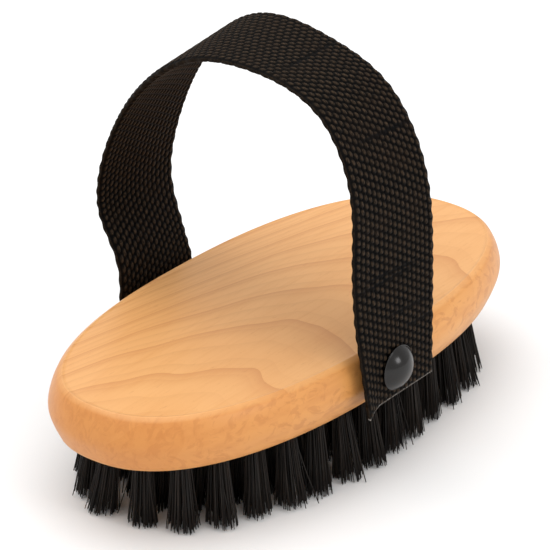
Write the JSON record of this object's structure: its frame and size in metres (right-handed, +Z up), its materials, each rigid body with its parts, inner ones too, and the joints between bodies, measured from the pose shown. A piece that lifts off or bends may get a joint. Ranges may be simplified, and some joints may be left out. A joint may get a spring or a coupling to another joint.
{
  "type": "bristle brush",
  "caption": "Oval palm grooming brush: varnished wooden block, black bristle tufts and a webbing hand strap held by dome-headed nails.",
  "frame": {"origin": "centre of the plane of the bristle tips, on which the brush stands", "axes": "+X along the block, +Z up through the block's back and the hand strap, -Y towards the near strap nail"},
  "size_m": [0.13, 0.0747, 0.0892],
  "materials": {
    "beech": "clear satin varnish over pale straight-grained wood",
    "webbing": "coarse woven black webbing",
    "bristle": "stiff black bristle with a faint sheen",
    "black_dome": "glossy black enamel",
    "nail_steel": "bright drawn steel",
    "anchor_wire": "flat bright wire"
  },
  "bodies": {
    "brush": {"centre_anchors": "anchor_wire", "centre_tufts": "bristle", "far_dome_cap": "black_dome", "far_strap_nail": "nail_steel", "inner_1_anchors": "anchor_wire", "inner_1_tufts": "bristle", "inner_2_anchors": "anchor_wire", "inner_2_tufts": "bristle", "inner_3_anchors": "anchor_wire", "inner_3_tufts": "bristle", "inner_4_anchors": "anchor_wire", "inner_4_tufts": "bristle", "inner_5_anchors": "anchor_wire", "inner_5_tufts": "bristle", "middle_1_anchors": "anchor_wire", "middle_1_tufts": "bristle", "middle_2_anchors": "anchor_wire", "middle_2_tufts": "bristle", "middle_3_anchors": "anchor_wire", "middle_3_tufts": "bristle", "middle_4_anchors": "anchor_wire", "middle_4_tufts": "bristle", "middle_5_anchors": "anchor_wire", "middle_5_tufts": "bristle", "middle_6_anchors": "anchor_wire", "middle_6_tufts": "bristle", "middle_7_anchors": "anchor_wire", "middle_7_tufts": "bristle", "near_dome_cap": "black_dome", "near_strap_nail": "nail_steel", "outer_1_anchors": "anchor_wire", "outer_1_tufts": "bristle", "outer_2_anchors": "anchor_wire", "outer_2_tufts": "bristle", "outer_3_anchors": "anchor_wire", "outer_3_tufts": "bristle", "outer_4_anchors": "anchor_wire", "outer_4_tufts": "bristle", "outer_5_anchors": "anchor_wire", "outer_5_tufts": "bristle", "outer_6_anchors": "anchor_wire", "outer_6_tufts": "bristle", "outer_7_anchors": "anchor_wire", "outer_7_tufts": "bristle", "outer_8_anchors": "anchor_wire", "outer_8_tufts": "bristle", "wood_block": "beech"},
    "strap": {"hand_strap": "webbing"}
  },
  "joints": [
    {"name": "strap_swing", "type": "hinge", "parent": "brush", "child": "strap", "pos_m": [-0.003, 0, 0.0243], "axis": [0, 1, 0], "range_deg": [-60, 60]}
  ]
}
